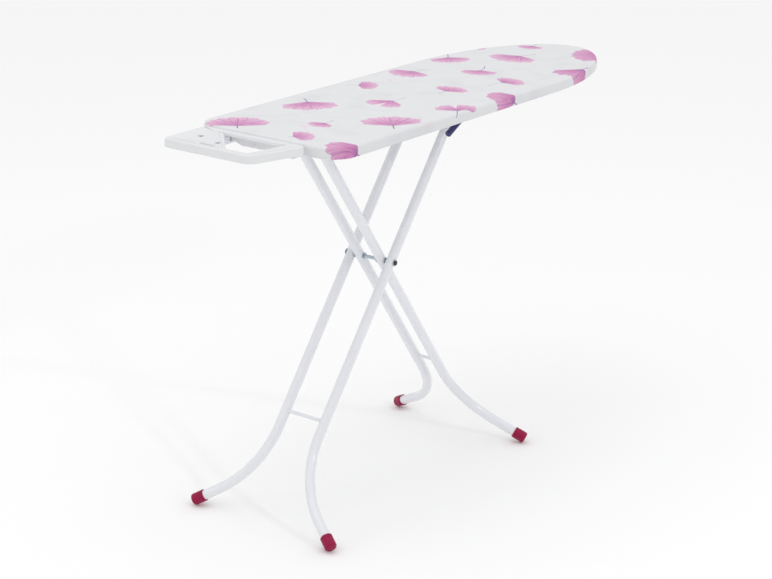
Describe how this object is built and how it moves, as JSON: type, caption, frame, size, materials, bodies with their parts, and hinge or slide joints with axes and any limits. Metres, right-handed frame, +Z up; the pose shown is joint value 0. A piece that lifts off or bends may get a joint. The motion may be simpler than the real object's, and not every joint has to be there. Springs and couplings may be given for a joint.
{
  "type": "ironing board",
  "caption": "Folding X-leg ironing board with a rounded nose, printed cotton cover, moulded iron rest at the square end and a squeeze lever for the height.",
  "frame": {"origin": "on the floor, under the middle of the whole object's box at its working height", "axes": "+X along the board towards the nose, -Y towards the side with the release lever, +Z up"},
  "size_m": [1.321, 0.4092, 0.87],
  "materials": {
    "white_powder_coat": "satin white powder coat",
    "zinc_plated_steel": "bright zinc plate",
    "crimson_foot_plastic": "glossy moulded plastic",
    "black_cap_plastic": "moulded nylon",
    "navy_grip_plastic": "soft satin sleeve",
    "white_rest_plastic": "satin moulded polypropylene",
    "printed_cotton": "plain weave cotton, printed with pink fan-shaped leaves",
    "felt": "needled felt"
  },
  "bodies": {
    "board": {"board_panel": "white_powder_coat", "underlay_pad": "felt", "cover": "printed_cotton", "hinge_bracket": "white_powder_coat", "hinge_rod": "zinc_plated_steel", "hinge_rod_clips": "zinc_plated_steel", "slide_rail_near": "white_powder_coat", "slide_rail_far": "white_powder_coat", "rest_arm_near": "white_powder_coat", "rest_arm_far": "white_powder_coat", "rest_plate": "white_powder_coat", "iron_rest": "white_rest_plastic", "rest_screws": "zinc_plated_steel", "lever_spring": "zinc_plated_steel"},
    "inner_leg": {"inner_leg_tube_near": "white_powder_coat", "inner_leg_tube_far": "white_powder_coat", "inner_foot_cap_near": "crimson_foot_plastic", "inner_foot_cap_far": "crimson_foot_plastic", "inner_crossbar": "white_powder_coat", "pivot_rod": "zinc_plated_steel", "pivot_washers": "zinc_plated_steel", "pivot_caps": "black_cap_plastic"},
    "outer_leg": {"outer_leg_tube_near": "white_powder_coat", "outer_leg_tube_far": "white_powder_coat", "outer_foot_cap_near": "crimson_foot_plastic", "outer_foot_cap_far": "crimson_foot_plastic", "outer_crossbar": "white_powder_coat", "slide_rod": "zinc_plated_steel", "slide_rollers": "black_cap_plastic", "slide_rod_clips": "zinc_plated_steel"},
    "lever": {"release_lever": "zinc_plated_steel", "lever_grip": "navy_grip_plastic", "latch_fingers": "zinc_plated_steel", "shaft_clip": "zinc_plated_steel"}
  },
  "joints": [
    {"name": "leg_fold", "type": "hinge", "parent": "board", "child": "inner_leg", "pos_m": [-0.38065, 0, 0.826], "axis": [0, -1, 0], "range_deg": [0, 52]},
    {"name": "leg_scissor", "type": "hinge", "parent": "inner_leg", "child": "outer_leg", "pos_m": [-0.1635, 0, 0.521], "axis": [0, 1, 0], "range_deg": [0, 104]},
    {"name": "height_lever", "type": "hinge", "parent": "board", "child": "lever", "pos_m": [0.03287, 0, 0.842], "axis": [0, 1, 0], "range_deg": [0, 20], "stiffness_Nm_per_rad": 0.6, "springref_deg": -34.38}
  ],
  "couplings": [
    {"joint": "leg_scissor", "follows": "leg_fold", "ratio": 2}
  ]
}
